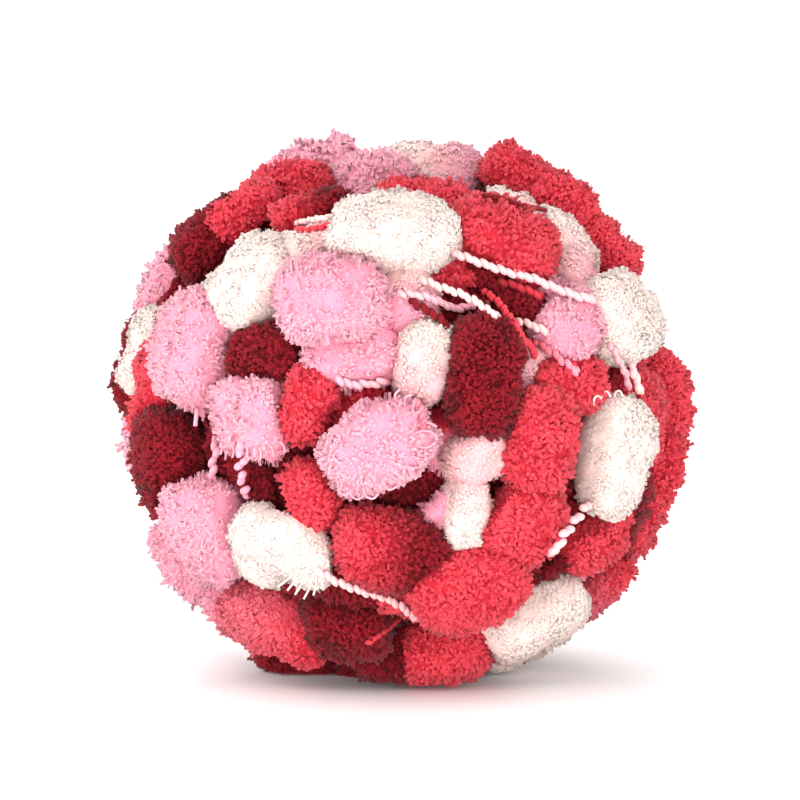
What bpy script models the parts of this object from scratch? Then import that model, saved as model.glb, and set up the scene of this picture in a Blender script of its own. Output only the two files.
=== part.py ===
"""Ball of pompom yarn, for Blender 4.5.

Soft puffs sit on a thread that is wound into a ball, and the ball rests on a small flat spot.
Metres, +Z up. The origin is on the surface below the middle of the ball, and -Y is its front.
"""

import math
import random
from collections import namedtuple

import bmesh
import bpy
from mathutils import Matrix, Vector, noise

# The ball
BALL_WIDE = 0.190
BALL_DEEP = 0.182
BALL_TALL = 0.186
SUNK = 0.010
CORE_SHARE = 0.79

# The puffs stand out unevenly, so the wound form is set over by this to centre the whole
SET_OVER = (0.0005, 0.0001)

# Where the front table is read from: an eye in front of the ball, a little above level
EYE_AWAY = 1.0
EYE_RISE = math.radians(5.0)

# The puffs
PUFF_LONG = 0.037
PUFF_WIDE = 0.028
PUFF_THICK_SHARE = 0.88
PUFF_SINK = 0.0130
PILLOW = 2.3
LUMP_HEIGHT = 0.0011
LUMP_SIZE = 0.011

# The puffs that fill the ball where the front table has none
FILL_COUNT = 175
FILL_CLEAR = 0.0200
FILL_STRAY = 0.004
FILL_SINK = (-0.004, 0.001)
FILL_SIZE = (0.92, 1.10)
FRONT_EDGE = 0.10
FRONT_GAP_SINK = -0.013
FOOT_EDGE = -0.88
FOOT_SINK = 0.002
FILL_SEED = 9
SWIRL = 2.6
GOLDEN_TURN = math.pi * (3.0 - math.sqrt(5.0))

# The surface of the solid
PUFF_ROUNDS = 3
CORE_ROUNDS = 4
SKIN_STEP = 0.0020
SKIN_TRIANGLES = 10000
FLOOR_BLOCK = 0.30

MM = 0.001

# Dyes along the yarn: colour, roughness
DYES = {
    "white": ((0.930, 0.880, 0.850), 0.90),
    "blush": ((0.910, 0.730, 0.740), 0.90),
    "pink": ((0.890, 0.500, 0.650), 0.90),
    "red": ((0.770, 0.065, 0.100), 0.90),
    "maroon": ((0.210, 0.012, 0.022), 0.90),
}
DYE_RUN = ("red", "red", "maroon", "pink", "white", "pink", "red", "white", "maroon", "pink", "pink", "red", "white")

Puff = namedtuple("Puff", "dye tail across up turn long wide deep")

# The front of the ball, puff by puff, as it is seen from the eye. In millimetres and degrees: dye and
# tail are its two ends' colours, across and up give its middle, right of the ball's middle and above
# the surface, turn is how far its long side rises from level towards the tail, and deep is how far it
# lies behind the ball's face.
FRONT = [Puff(*row) for row in (
    # top of the ball, left to right
    ("pink", "pink", -29, 165, 8, 37, 26, 30),
    ("red", "maroon", -33, 157, -3, 39, 26, 7),
    ("maroon", "maroon", -31, 150, 0, 24, 14, 5),
    ("maroon", "maroon", -64, 141, 60, 34, 25, 2),
    ("red", "red", -50, 150, 28, 33, 22, -4),
    ("white", "white", -3, 148, -5, 43, 29, -4),
    ("white", "pink", 9, 165, -8, 38, 26, 27),
    ("red", "red", 5, 160, -4, 37, 22, 8),
    ("maroon", "maroon", 21, 168, -30, 20, 9, 20),
    ("red", "red", 37, 165, -8, 30, 22, 8),
    ("red", "red", 53, 155, -42, 28, 22, 4),
    ("white", "blush", 37, 154, -15, 26, 16, 8),
    ("white", "blush", 53, 142, -55, 30, 18, 5),
    ("red", "red", 66, 140, -60, 29, 22, 5),
    ("red", "red", 35, 141, -25, 40, 27, -2),
    # left side, downwards
    ("white", "white", -48, 129, 65, 37, 29, 2),
    ("blush", "pink", -32, 137, 40, 22, 15, 6),
    ("pink", "pink", -78, 126, 55, 30, 24, 22),
    ("maroon", "maroon", -75, 125, 50, 18, 12, 8),
    ("pink", "pink", -70, 106, 78, 39, 31, 0),
    ("maroon", "maroon", -83, 99, 88, 36, 22, 38),
    ("white", "white", -81, 102, 88, 32, 22, 24),
    ("red", "red", -78, 91, 80, 38, 24, 12),
    ("maroon", "maroon", -75, 69, 80, 38, 28, 2),
    ("pink", "pink", -63, 46, 82, 39, 30, -2),
    ("pink", "pink", -70, 36, 115, 34, 24, 16),
    ("red", "pink", -56, 21, 130, 28, 20, 14),
    # left of the middle, downwards
    ("pink", "pink", -23, 121, 0, 39, 32, -3),
    ("pink", "pink", -17, 102, 5, 35, 22, 6),
    ("maroon", "maroon", -44, 103, -10, 27, 20, 8),
    ("pink", "pink", -56, 84, 88, 27, 17, 2),
    ("pink", "pink", -45, 83, 92, 30, 18, 0),
    ("red", "red", -30, 87, 70, 29, 22, 5),
    ("red", "red", -16, 88, 20, 28, 20, 14),
    ("pink", "pink", -8, 73, 30, 42, 31, -3),
    ("maroon", "maroon", -45, 61, 90, 22, 18, 12),
    ("red", "red", -33, 60, 105, 28, 22, 6),
    ("blush", "white", -38, 39, -12, 39, 27, -2),
    ("red", "maroon", -4, 41, -15, 39, 31, 2),
    ("red", "red", -42, 16, -20, 38, 27, 0),
    ("maroon", "maroon", -17, 16, 0, 32, 28, 6),
    ("maroon", "maroon", -33, 4, 0, 31, 23, 12),
    ("maroon", "maroon", -5, 6, 0, 26, 24, 5),
    # middle of the ball
    ("pink", "white", 2, 123, 90, 28, 22, 6),
    ("blush", "white", 8, 101, 78, 30, 21, 4),
    ("maroon", "maroon", 27, 97, 83, 41, 27, -1),
    ("red", "red", 15, 130, 10, 22, 14, 6),
    ("maroon", "maroon", 29, 129, -30, 28, 20, 15),
    ("maroon", "maroon", 41, 119, -30, 24, 20, 13),
    ("pink", "maroon", 12, 81, 100, 22, 16, 14),
    ("white", "blush", 24, 61, 75, 37, 22, 4),
    ("pink", "pink", 13, 54, 50, 20, 14, 9),
    ("red", "red", 22, 28, 18, 43, 30, -4),
    ("red", "red", 14, 7, 0, 32, 27, 2),
    # right side, downwards
    ("pink", "pink", 54, 112, 40, 31, 25, 2),
    ("pink", "blush", 41, 95, 62, 26, 16, 5),
    ("blush", "pink", 57, 127, -20, 22, 18, 5),
    ("blush", "white", 75, 117, 110, 31, 28, 2),
    ("red", "red", 56, 92, 10, 37, 23, 2),
    ("red", "red", 47, 76, 80, 38, 29, -3),
    ("red", "red", 40, 49, 62, 34, 27, -3),
    ("white", "white", 71, 70, 85, 40, 25, -1),
    ("red", "red", 84, 90, 108, 32, 23, 16),
    ("red", "red", 81, 66, 82, 38, 24, 18),
    ("red", "red", 78, 50, 60, 26, 20, 12),
    ("red", "red", 65, 44, -10, 28, 20, 4),
    ("red", "red", 65, 28, 40, 26, 20, 24),
    ("white", "pink", 46, 20, 28, 39, 27, 2),
    ("white", "white", 38, 9, 8, 30, 22, 5),
)]

Place = namedtuple("Place", "dye tail middle along out long wide thick")


def clear_scene():
    for thing in list(bpy.data.objects):
        bpy.data.objects.remove(thing, do_unlink=True)


def new_collection(name):
    collection = bpy.data.collections.new(name)
    bpy.context.scene.collection.children.link(collection)
    return collection


def dye_material(name):
    colour, roughness = DYES[name]
    material = bpy.data.materials.new(f"{name}_pile")
    material.use_nodes = True
    shader = material.node_tree.nodes["Principled BSDF"]
    shader.inputs["Base Color"].default_value = (*colour, 1.0)
    shader.inputs["Roughness"].default_value = roughness
    shader.inputs["Metallic"].default_value = 0.0
    material.diffuse_color = (*colour, 1.0)
    return material


def ball_foot():
    return Vector((*SET_OVER, 0.0))


def ball_middle():
    return ball_foot() + Vector((0.0, 0.0, BALL_TALL / 2.0 - SUNK))


def puff_reach():
    """Half sizes of the egg on which the puffs' middles lie."""
    return Vector((BALL_WIDE, BALL_DEEP, BALL_TALL)) / 2.0 - Vector((PUFF_SINK,) * 3)


def by_axis(first, second):
    return Vector((first.x / second.x, first.y / second.y, first.z / second.z))


def outward(point):
    """The ball's outward direction at a point near its surface."""
    reach = puff_reach()
    offset = point - ball_middle()
    return by_axis(by_axis(offset, reach), reach).normalized()


def eye_frame():
    """The eye's own right and up directions, and where it is."""
    forward = Vector((0.0, math.cos(EYE_RISE), -math.sin(EYE_RISE)))
    right = Vector((1.0, 0.0, 0.0))
    up = right.cross(forward)
    return right, up, ball_middle() - forward * EYE_AWAY


def on_the_face(across, up, deep):
    """The point of the puffs' egg on the sight line to a place in the view, deep behind the near face."""
    eye_right, eye_up, eye = eye_frame()
    target = ball_foot() + eye_right * across + eye_up * up
    ray = (target - eye).normalized()
    reach = puff_reach()
    start = by_axis(eye - ball_middle(), reach)
    step = by_axis(ray, reach)
    a = step.dot(step)
    b = start.dot(step)
    c = start.dot(start) - 1.0
    root = max(b * b - a * c, 0.0)
    travel = (-b - math.sqrt(root)) / a
    return eye + ray * (travel + deep)


def lie_along(out, wish):
    """The direction nearest to a wish that lies flat on the ball."""
    flat = wish - out * wish.dot(out)
    return flat.normalized()


def front_places():
    eye_right, eye_up, _ = eye_frame()
    places = []
    for puff in FRONT:
        middle = on_the_face(puff.across * MM, puff.up * MM, puff.deep * MM)
        turn = math.radians(puff.turn)
        seen = eye_right * math.cos(turn) + eye_up * math.sin(turn)
        out = outward(middle)
        thick = min(puff.wide * MM, PUFF_WIDE) * PUFF_THICK_SHARE
        places.append(Place(puff.dye, puff.tail, middle, lie_along(out, seen), out,
                            puff.long * MM, puff.wide * MM, thick))
    return places


def fill_places(taken):
    """Puffs spread evenly over the whole ball, left out where one already lies."""
    chance = random.Random(FILL_SEED)
    reach = puff_reach()
    places = []
    for number in range(FILL_COUNT):
        height = 1.0 - 2.0 * (number + 0.5) / FILL_COUNT
        ring = math.sqrt(1.0 - height * height)
        turn = number * GOLDEN_TURN
        away = Vector((ring * math.cos(turn), ring * math.sin(turn), height))
        middle = ball_middle() + Vector((away.x * reach.x, away.y * reach.y, away.z * reach.z))
        middle += Vector([chance.uniform(-FILL_STRAY, FILL_STRAY) for _ in range(3)])
        out = outward(middle)
        sink = chance.uniform(*FILL_SINK)
        if away.y < FRONT_EDGE:
            sink = FRONT_GAP_SINK
        if away.z < FOOT_EDGE:
            sink = FOOT_SINK
        middle += out * sink
        swirl = Vector([math.sin(away[(axis + 1) % 3] * SWIRL + axis) for axis in range(3)])
        size = chance.uniform(*FILL_SIZE)
        near = min((middle - other.middle).length for other in taken + places)
        if near < FILL_CLEAR:
            continue
        dye = DYE_RUN[len(places) % len(DYE_RUN)]
        places.append(Place(dye, dye, middle, lie_along(out, swirl), out,
                            PUFF_LONG * size, PUFF_WIDE * size, PUFF_WIDE * size * PUFF_THICK_SHARE))
    return places


def pillow(direction):
    """A unit puff's surface along a direction: rounder at its shoulders than an egg."""
    power = sum(abs(part) ** PILLOW for part in direction)
    return direction * power ** (-1.0 / PILLOW)


def add_puff(mesh, place):
    grid = bmesh.ops.create_icosphere(mesh, subdivisions=PUFF_ROUNDS, radius=1.0)
    half = Vector((place.long, place.wide, place.thick)) / 2.0
    side = place.out.cross(place.along)
    turned = Matrix((place.along, side, place.out)).transposed()
    for vertex in grid["verts"]:
        shape = pillow(vertex.co.normalized())
        point = place.middle + turned @ Vector([shape[axis] * half[axis] for axis in range(3)])
        lump = noise.noise(point / LUMP_SIZE) * LUMP_HEIGHT
        vertex.co = point + (point - place.middle).normalized() * lump


def add_core(mesh):
    grid = bmesh.ops.create_icosphere(mesh, subdivisions=CORE_ROUNDS, radius=0.5)
    size = Vector((BALL_WIDE, BALL_DEEP, BALL_TALL)) * CORE_SHARE
    for vertex in grid["verts"]:
        vertex.co = ball_middle() + Vector([vertex.co[axis] * size[axis] for axis in range(3)])


def skin(loose, collection):
    """One closed skin around the core and all the puffs."""
    wrap = loose.modifiers.new("wrap", "REMESH")
    wrap.mode = "VOXEL"
    wrap.voxel_size = SKIN_STEP
    wrapped = loose.evaluated_get(bpy.context.evaluated_depsgraph_get())
    count = sum(len(face.vertices) - 2 for face in wrapped.data.polygons)
    thin = loose.modifiers.new("fewer_faces", "DECIMATE")
    thin.ratio = SKIN_TRIANGLES / count
    thin.use_collapse_triangulate = True
    result = bpy.data.meshes.new_from_object(loose.evaluated_get(bpy.context.evaluated_depsgraph_get()))
    bpy.data.objects.remove(loose, do_unlink=True)
    result.name = "yarn_ball"
    ball = bpy.data.objects.new("yarn_ball", result)
    collection.objects.link(ball)
    return ball


def share_out(place, point):
    """How far out a point lies in a puff, from 0 at its middle to a half at its surface."""
    offset = point - place.middle
    side = place.out.cross(place.along)
    return math.hypot(offset.dot(place.along) / place.long, offset.dot(side) / place.wide,
                      offset.dot(place.out) / place.thick)


def dye_faces(ball, places):
    """Each face takes the dye of the puff it lies on, and of that puff's nearer end."""
    names = list(DYES)
    for name in names:
        ball.data.materials.append(dye_material(name))
    for face in ball.data.polygons:
        puff = min(places, key=lambda place: share_out(place, face.center))
        at_tail = (face.center - puff.middle).dot(puff.along) > 0.0
        face.material_index = names.index(puff.tail if at_tail else puff.dye)


def cut_flat_spot(ball, cutters):
    mesh = bmesh.new()
    bmesh.ops.create_cube(mesh, size=FLOOR_BLOCK)
    bmesh.ops.translate(mesh, verts=mesh.verts, vec=(0.0, 0.0, -FLOOR_BLOCK / 2.0))
    data = bpy.data.meshes.new("below_floor")
    mesh.to_mesh(data)
    mesh.free()
    block = bpy.data.objects.new("below_floor", data)
    block.hide_render = True
    block.display_type = "WIRE"
    cutters.objects.link(block)
    cut = ball.modifiers.new("flat_spot", "BOOLEAN")
    cut.operation = "DIFFERENCE"
    cut.solver = "EXACT"
    cut.object = block


def main():
    clear_scene()
    parts = new_collection("yarn_ball")
    cutters = new_collection("cutters")
    places = front_places()
    places += fill_places(places)
    mesh = bmesh.new()
    add_core(mesh)
    for place in places:
        add_puff(mesh, place)
    data = bpy.data.meshes.new("puffs")
    mesh.to_mesh(data)
    mesh.free()
    loose = bpy.data.objects.new("puffs", data)
    parts.objects.link(loose)
    ball = skin(loose, parts)
    dye_faces(ball, places)
    ball.data.shade_smooth()
    cut_flat_spot(ball, cutters)


main()
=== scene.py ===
"""Ball of pompom yarn: cut pile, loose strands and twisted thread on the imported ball, and its stage.

Metres, +Z up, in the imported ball's own frame. -Y is the ball's photographed face.
"""

import math
import random
from collections import namedtuple

import bmesh
import bpy
import numpy as np
from bpy.props import FloatProperty, FloatVectorProperty, PointerProperty
from mathutils import Matrix, Vector, noise
from mathutils.bvhtree import BVHTree
from mathutils.kdtree import KDTree


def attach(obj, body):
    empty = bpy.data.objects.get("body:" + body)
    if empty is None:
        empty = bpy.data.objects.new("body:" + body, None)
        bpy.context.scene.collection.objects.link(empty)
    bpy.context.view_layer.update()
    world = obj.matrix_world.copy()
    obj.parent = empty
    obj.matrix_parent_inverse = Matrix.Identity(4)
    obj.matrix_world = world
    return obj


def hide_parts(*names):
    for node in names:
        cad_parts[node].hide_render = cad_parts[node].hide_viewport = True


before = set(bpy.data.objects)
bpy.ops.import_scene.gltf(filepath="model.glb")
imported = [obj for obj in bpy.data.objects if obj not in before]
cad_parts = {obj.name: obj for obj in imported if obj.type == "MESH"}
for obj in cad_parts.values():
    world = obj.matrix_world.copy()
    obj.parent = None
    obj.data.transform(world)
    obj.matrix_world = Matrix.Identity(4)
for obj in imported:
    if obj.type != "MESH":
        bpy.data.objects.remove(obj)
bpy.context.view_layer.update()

bl_info = {
    "name": "Pompom yarn ball",
    "version": (1, 0, 0),
    "blender": (4, 5, 0),
    "location": "3D View > Sidebar > Yarn ball",
    "description": "Dresses a ball of pompom yarn in cut pile, loose strands and twisted thread",
    "category": "Add Mesh",
}

BODY = "root"
NODE = "yarn_ball"

MM = 0.001
# The least length that a row is divided by where it becomes a direction
NO_LENGTH = 1e-9

# The ball: its sizes without the flat spot, how deep it would reach below the floor without it, and how
# far to the right and to the back its middle stands
BALL_WIDE = 0.190
BALL_DEEP = 0.182
BALL_TALL = 0.186
SUNK = 0.010
SET_OVER = (0.0005, 0.0001)
# The wound middle's share of the ball, and how much smaller it is here, to carry its own strands
CORE_SHARE = 0.79
CORE_SHRUNK = 0.93

# The eye that the front table is read from
EYE_AWAY = 1.0
EYE_RISE = math.radians(5.0)

# The puffs, and how deep under the ball's surface their middles lie. The higher PILLOW is, the fuller
# their ends and sides are.
PUFF_LONG = 0.037
PUFF_WIDE = 0.028
PUFF_THICK_SHARE = 0.88
PUFF_SINK = 0.0130
PILLOW = 2.7

# The puffs that fill the ball where the front table has none: how many are tried, the least distance
# between two middles, how far they stray, how far out they are set, so that a negative number is deeper,
# and their size as a share. In front of FRONT_EDGE and below FOOT_EDGE, which are shares of the way from
# the ball's middle to its surface, they are set otherwise.
FILL_COUNT = 175
FILL_CLEAR = 0.0200
FILL_STRAY = 0.004
FILL_SINK = (-0.004, 0.001)
FILL_SIZE = (0.92, 1.10)
FRONT_EDGE = 0.10
FRONT_GAP_SINK = -0.009
FOOT_EDGE = -0.88
FOOT_SINK = 0.002
FILL_SEED = 9
# How strongly the winding's direction turns over the ball
SWIRL = 2.6
GOLDEN_TURN = math.pi * (3.0 - math.sqrt(5.0))
# Smaller puffs that lie deeper, in the hollows that these leave. They take the yarn's own maroon dye,
# put there as painted shade for the hollows. How many places are tried, how far from every puff they are,
# and how far forward and up or down they go at most, as shares as above
GAP_COUNT = 500
GAP_CLEAR = 0.0205
GAP_EDGE = -0.35
GAP_HIGH = 0.45
GAP_SINK = -0.0055
GAP_SIZE = 0.86
# The rule-made puffs' dyes, in turn
DYE_RUN = ("red", "pink", "maroon", "pink", "white", "pink", "red", "white", "maroon", "pink", "pink",
           "red", "white")
# Beside the front table's puffs they take the nearest one's dye, but never one of these
TOO_PALE = ("white", "blush")

# Where each dye lies across the dye chart, from 0 to 1
DYE_PLACE = {"white": 0.06, "blush": 0.28, "pink": 0.50, "red": 0.72, "maroon": 0.94}
# The same with the stretches where one dye has run into the next
ALL_PLACES = {**DYE_PLACE, "cream": 0.20, "coral": 0.665}
# How steeply a puff fades from its dye to its tail's
FADE_STEEP = 0.75
# The map that places the pieces on the chart, how near its rim the pieces and the strands' dyes come, and
# how far apart the corners of one strand lie on it
CHART = "OFBake"
CHART_RIM = 0.005
DYE_RIM = 0.02
CHART_WIDE = 0.003
CHART_HIGH = 0.01

# The floor presses the lowest strands flat: they start to give below FLOOR_SOFT, and end FLOOR_GAP
# above it
FLOOR_SOFT = 0.0022
FLOOR_GAP = 0.0003

# Rows between strands that stand as densely as they can
HEX_ROW = math.sqrt(3.0) / 2.0
# They are spread over a puff in this many slices, from a first turn of up to this many radians
SPREAD_SLICES = 240
FIRST_TURN = 6.0

PILE_SEED = 4
# Without a seed the noise would differ from run to run
NOISE_SEED = 72

# How often a puff's smooth surface is divided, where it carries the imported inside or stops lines
SHELL_ROUNDS = 3
# How deep under the skin the surfaces lie that shade the pile
COVER_DEPTH = 0.0015
# Puffs that are further apart than touching ones by this can't hide each other's strands
TOUCH_ROOM = 0.008
# What stands for the distance, in the other puff's sizes, where no other is near
FAR_OUT = 9.0

# Small swellings on a puff, as shares of the large ones' length and height, and half the width of its
# partings, as a share of the noise that draws them
SMALL_LUMP_LONG = 0.42
SMALL_LUMP_HIGH = 0.5
GROOVE_WIDE = 0.10

# Cracks in the pile: half their width, as a share of the noise that draws them. The patches that they
# cross are parted by this much on average, change by this much, and are parted by this much at least.
CRACK_WIDE = 0.12
PARTED_MEAN = 0.35
PARTED_CHANGE = 1.8
PARTED_LEAST = 0.1

# Lines of sight out of the pile: they start this many millimetres off it and reach this far. This many
# lean away from the straight one, by this much. Where fewer than SIGHT_FREE of them are open, the pile is
# painted darker: painted shade.
SIGHT_START = 0.4
SIGHT_FAR = 0.030
SIGHT_LINES = 5
SIGHT_TILT = 0.9
SIGHT_FREE = 0.9

# How each dye's pile stands. The pale yarn is the finest, fullest and straightest. pitch, full and curl
# are shares of the pile's pitch, the strands' own pitch and the pile's curl. shade is how much painted
# shade a puff takes: how far a strand's root goes down the dye chart into the darker root colours, and
# how much darker its cracks and crevices are painted. bed is how deep the imported inside lies below the
# cut ends, in millimetres, soft is how much a strand's surface takes its shading from the whole puff,
# clump is how strongly the strands cling together in crumbs, and rough is how unevenly they stand.
Stand = namedtuple("Stand", "pitch full curl shade bed soft clump rough")
STANDS = {
    "white": Stand(0.92, 1.36, 0.50, 0.20, 0.5, 0.88, 0.5, 1.05),
    "cream": Stand(0.92, 1.36, 0.50, 0.26, 0.5, 0.88, 0.5, 1.05),
    "blush": Stand(0.92, 1.34, 0.50, 0.32, 0.5, 0.84, 0.6, 1.1),
    "pink": Stand(0.92, 1.10, 0.90, 0.66, 0.9, 0.60, 1.25, 1.3),
    "coral": Stand(1.0, 1.18, 1.05, 0.85, 1.3, 0.52, 1.15, 1.1),
    "red": Stand(1.0, 1.18, 1.05, 0.90, 1.3, 0.52, 1.15, 1.1),
    "maroon": Stand(1.02, 1.18, 1.05, 1.0, 1.4, 0.52, 1.15, 1.1),
}

# The pile is finer on the front of the ball, to this far behind its middle
RIM_DEEP = 0.024
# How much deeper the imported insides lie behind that, in millimetres
BACK_BED = 0.6

# A strand is left out where it lies inside another puff at this share of the puff's size
HIDDEN_SHARE = 0.96
# From this share inwards it lies in the crevice beside the other puff, where it is short and painted
# darker as painted shade
CREVICE_SHARE = 1.13
CREVICE_FALL = 1.5
# The wound middle's strands stand further apart
CORE_COARSE = 1.4

# Strands fan out from a line along the inside of the puff. This is half its length, as a share of the
# puff's, and a strand's start on it lies at this share of the strand's own place along the puff.
SPINE_LONG = 0.55
SPINE_SHARE = 0.8
# How far they stray in place, in their lean and in the height of their cut ends. A few of them,
# LONG_SHARE, stand out by more. Their thickness is a share of the even one.
PLACE_STRAY = 0.00015
LEAN_STRAY = 0.14
HIGH_STRAY = 0.00020
LONG_SHARE = 0.03
LONG_HIGH = (0.0004, 0.0012)
THICK_SHARES = (0.85, 1.15)
# Neighbours curl the same way in patches of this size: how strongly, and how much each goes its own way
CURL_PATCH = 0.0045
CURL_TOGETHER = 1.4
CURL_ALONE = 0.35
CURL_SHARES = (0.5, 1.5)
# Strands cling together in crumbs. These stray by a share of the distance between them, and the strands
# lean over to them by a share of the way. Towards a crumb's edge, in a crack and in a crevice the pile is
# lower.
CRUMB_STRAY = 0.12
CRUMB_CLING = 0.45
CRUMB_EDGE = 1.6
CRUMB_EDGE_MOST = 1.2
EDGE_LOW = 0.0012
CRACK_LOW = 0.0012
CREVICE_LOW = 0.0007
# Painted shade: how much darker the pile is painted at a crumb's edge, in a crevice and where few lines of
# sight are open, where a crack's painted shade counts as 1, and how far the strands' places on the chart
# stray across it and up it
EDGE_PAINTED_SHADE = 0.8
CREVICE_PAINTED_SHADE = 0.6
SHUT_PAINTED_SHADE = 0.5
DYE_STRAY = 0.008
DEPTH_PLACE = 0.04
DEPTH_STRAY = 0.04

# A strand's two rings: share of its thickness, and place on the chart from root to tip. The root ring's
# low place is painted shade deep in the pile.
STRAND_SIDES = 3
RINGS = ((1.00, 0.30), (0.82, 0.95))

# Fine fibres that stand out of the pile: their pitch as a share of the strands', their thickness, how
# far they stand out and how deep they are rooted, how they lean and stray, and the places of their two
# ends up the chart, the root's lower place being painted shade
FIBRE_COARSE = 1.42
FIBRE_THICK = 0.00036
FIBRE_THICK_SHARES = (0.8, 1.3)
FIBRE_REACH = (0.0003, 0.0012)
FIBRE_ROOT = 0.0008
FIBRE_LEAN = 0.30
FIBRE_STRAY = 0.0003
FIBRE_DYE_STRAY = 0.010
FIBRE_ENDS = (0.7, 0.95)
# They stand only this far clear of the other puffs, where more lines of sight than this are open, and
# where the pile is less cracked than this
FIBRE_CLEAR = 0.03
FIBRE_OPEN = 0.2
FIBRE_CRACK = 0.15

# The imported insides' places up the chart, low among the root colours as painted shade deep in the
# pile: the darkest dye's, and how much higher the paler ones lie. They stray by this much across the
# chart and up it.
BED_DEPTH = 0.05
BED_DEPTH_SHARE = 0.7
BED_STRAY = (0.006, 0.02)

# Threads and loose strands: the step along their routes, and the parts that a curve between two of a
# route's places is drawn with
ROUTE_STEP = 0.0006
CURVE_PARTS = 16
# How far a thread's middle lies off the pile, as a share of its thickness, and how deep its ends lie
THREAD_CLEAR = 0.6
THREAD_BURIED = 0.0045

# A bead's half length as a share of the beads' pitch, its width as a share of the thread's thickness,
# how far beads swing to one side and the other, and how they slant. On a slack thread they are shorter
# and swing further.
BEAD_LONG = 0.86
BEAD_WIDE = 0.86
BEAD_SWING = 0.17
BEAD_SLANT = math.radians(30.0)
SLACK_SHORT = 0.10
SLACK_SWING = 0.30
BEAD_ROUNDS = 2
# A bead's place up the chart, and how much lower its two ends and its underside lie on it: painted shade
# in the twist's creases and under the bead
BEAD_DEPTH = 0.85
BEAD_END_PAINTED_SHADE = 0.8
BEAD_UNDER_PAINTED_SHADE = 0.3

# A loose strand follows the pile where it steps by no more than LAID_STEP, roots this many millimetres
# deep, lies off the pile by a share of its thickness, and runs this far up the chart, its rooted end
# lower, as painted shade
LAID_STEP = 0.0015
LAID_ROOT = 1.5
LOOSE_CLEAR = 0.6
LOOSE_SIDES = 5
LOOSE_ENDS = (0.7, 0.95)

# The yarn is polyester. Its fibres shine little, and catch a soft light where they are seen edge on.
POLYESTER_IOR = 1.58
SPECULAR = 0.12
SHEEN_ROUGHNESS = 0.5
# The faint grain that single fibres give the surface, which no finer mesh could show
GRAIN_DETAIL = 2.0
GRAIN_ROUGHNESS = 0.6
GRAIN_STRENGTH = 0.6

Finish = namedtuple("Finish", "name roughness sheen fibre_wide fibre_deep")

# Cut pile: the eye meets the fibres' cut ends, so it is matt, with a soft sheen at the puffs' rims
CUT_PILE = Finish("Cut polyester pile", 0.9, 0.08, 0.00035, 0.00012)
# Fibre packed by the binding thread, deep in the pile: duller still, and coarser to the eye
PACKED_FIBRE = Finish("Packed polyester fibre", 0.95, 0.03, 0.0009, 0.0004)
# Twisted thread: the fibres lie along it, so it is the smoothest and shines a little
TWISTED_THREAD = Finish("Twisted polyester thread", 0.7, 0.05, 0.0003, 0.00008)
# A strand that has come loose shows its side, a little smoother than the cut pile
LOOSE_STRAND = Finish("Loose polyester strand", 0.85, 0.04, 0.00035, 0.00008)

# The colour sockets of a Mix node, which share their names with its other kinds of socket
MIX_COLOUR_A = 6
MIX_COLOUR_B = 7
MIX_COLOUR_OUT = 2

# The floor's white card and the size of its faint grain, in metres
CARD_DARK = "#F9F8F8"
CARD_PALE = "#FBFAFA"
CARD_ROUGHNESS = 0.7
CARD_GRAIN = 0.025
CARD_GRAIN_DETAIL = 3.0
FLOOR_PARTS = 8

# The picture's side in pixels, the place of the ball's middle in it, how many metres it shows across at
# the ball, the camera's film in millimetres, and the nearest thing that it sees
PICTURE = 800
MIDDLE_IN_PICTURE = (401.0, 418.7)
VIEW_WIDE = 0.2612
SENSOR = 36.0
NEAREST_SEEN = 0.05

SoftBox = namedtuple("SoftBox", "name away wide high power share")

# The lights: where they stand from the ball's middle, how wide and high they are, and the power setting
# that they take a share of
SOFT_BOXES = (
    SoftBox("key_light", (-0.45, -0.85, 1.0), 0.9, 0.9, "key_power", 1.0),
    SoftBox("front_light", (0.0, -1.1, 0.065), 1.4, 0.26, "front_power", 1.0),
    SoftBox("left_light", (-1.1, -0.35, 0.35), 0.8, 0.8, "side_power", 1.5),
    SoftBox("right_light", (1.1, -0.35, 0.35), 0.8, 0.8, "side_power", 0.5),
    SoftBox("low_light", (0.0, -0.42, -0.055), 0.9, 0.04, "low_power", 1.0),
    SoftBox("back_light", (-0.3, 0.9, 0.8), 1.0, 0.8, "back_power", 1.0),
)

Puff = namedtuple("Puff", "dye tail across up turn long wide deep")

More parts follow.
